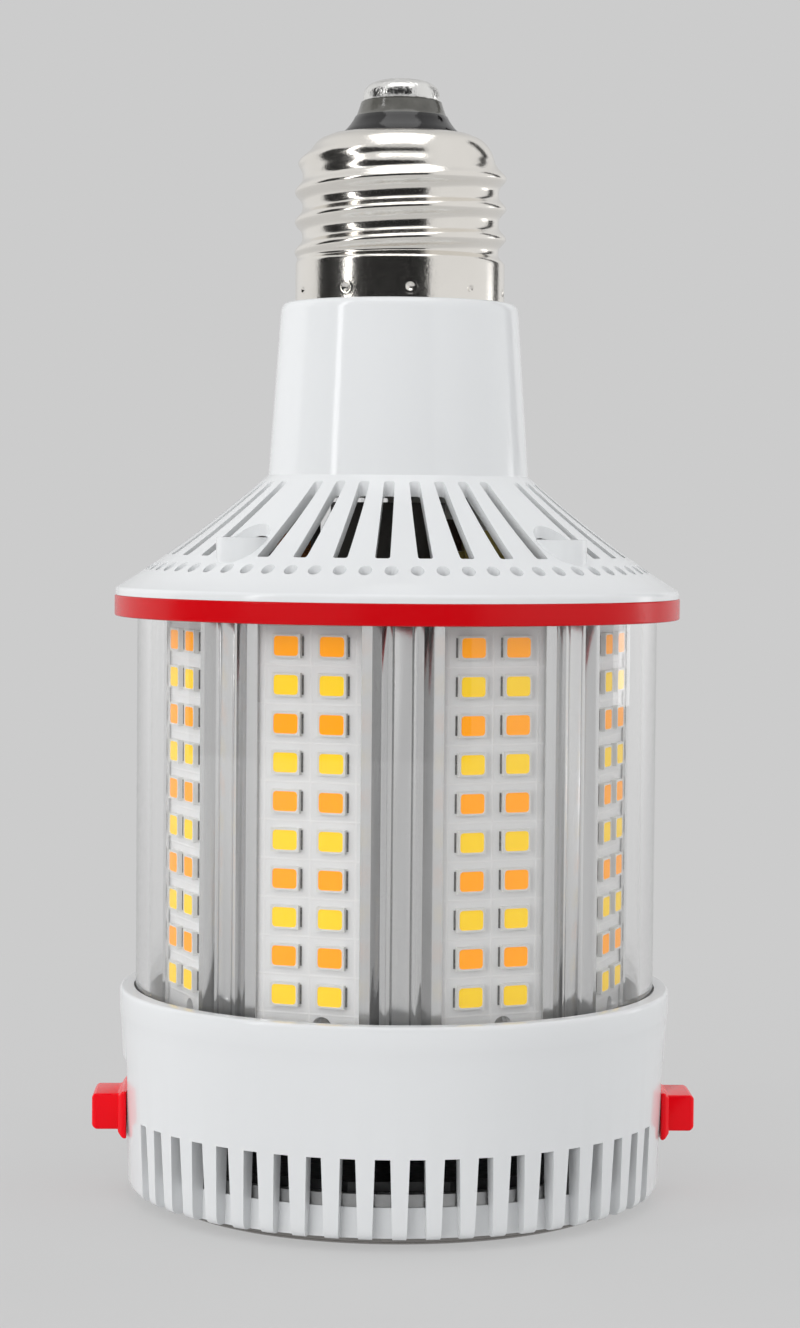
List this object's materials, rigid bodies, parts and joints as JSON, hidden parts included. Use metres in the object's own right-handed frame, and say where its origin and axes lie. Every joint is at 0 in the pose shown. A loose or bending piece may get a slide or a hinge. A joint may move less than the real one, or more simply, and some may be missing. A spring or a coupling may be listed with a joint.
{
  "type": "corn led bulb",
  "caption": "Screw-base corn LED bulb: vented white neck, clear tube over upright LED boards on an extruded heat sink, and a slotted collar with sliding selector knobs.",
  "frame": {"origin": "centre of the end lens's outer face, on the lamp's axis", "axes": "+Z along the axis from the end lens to the screw base; +X towards the power knob; the front is -Y"},
  "size_m": [0.0752, 0.0704, 0.1393],
  "materials": {
    "tinned_metal": "bright",
    "dark_glass": "gloss",
    "nickel": "polished",
    "white_plastic": "gloss",
    "red_plastic": "gloss",
    "clear_plastic": "clear",
    "smoked_plastic": "clear",
    "bare_aluminium": "bright extruded",
    "board_white": "white solder mask",
    "board_metal": "bare edge",
    "led_warm": "phosphor window",
    "led_cool": "phosphor window",
    "board_black": "black solder mask",
    "board_green": "green solder mask",
    "black_sleeve": "shrunk sleeve",
    "gold_tape": "tape",
    "copper_winding": "enamelled",
    "film_coating": "dipped",
    "black_resin": "moulded",
    "wire_cover": "extruded",
    "tinned_copper": "tinned",
    "screw_steel": "plated"
  },
  "bodies": {
    "lamp_body": {"center_contact": "tinned_metal", "base_insulator": "dark_glass", "screw_shell": "nickel", "upper_housing": "white_plastic", "trim_ring": "red_plastic", "clear_cover": "clear_plastic", "heat_sink": "bare_aluminium", "lower_collar": "white_plastic", "power_switch": "black_resin", "color_switch": "black_resin", "switch_board": "board_black", "end_board": "board_metal", "end_warm_leds": "led_warm", "end_cool_leds": "led_cool", "end_lens": "smoked_plastic", "driver_board": "board_green", "bulk_capacitor": "black_sleeve", "transformer": "gold_tape", "filter_choke": "copper_winding", "film_capacitor": "film_coating", "bridge_rectifier": "black_resin", "live_lead": "wire_cover", "neutral_lead": "wire_cover", "switch_cable": "wire_cover", "board_jumpers": "tinned_copper", "housing_screws": "screw_steel", "collar_screws": "screw_steel", "led_board_1": "board_white", "warm_leds_1": "led_warm", "cool_leds_1": "led_cool", "led_board_2": "board_white", "warm_leds_2": "led_warm", "cool_leds_2": "led_cool", "led_board_3": "board_white", "warm_leds_3": "led_warm", "cool_leds_3": "led_cool", "led_board_4": "board_white", "warm_leds_4": "led_warm", "cool_leds_4": "led_cool", "led_board_5": "board_white", "warm_leds_5": "led_warm", "cool_leds_5": "led_cool", "led_board_6": "board_white", "warm_leds_6": "led_warm", "cool_leds_6": "led_cool", "led_board_7": "board_white", "warm_leds_7": "led_warm", "cool_leds_7": "led_cool", "led_board_8": "board_white", "warm_leds_8": "led_warm", "cool_leds_8": "led_cool"},
    "power_selector": {"power_knob": "red_plastic"},
    "color_selector": {"color_knob": "red_plastic"}
  },
  "joints": [
    {"name": "power_select", "type": "slide", "parent": "lamp_body", "child": "power_selector", "axis": [0, 1, 0], "range_m": [-0.002, 0.002]},
    {"name": "color_select", "type": "slide", "parent": "lamp_body", "child": "color_selector", "axis": [0, 1, 0], "range_m": [-0.002, 0.002]}
  ]
}
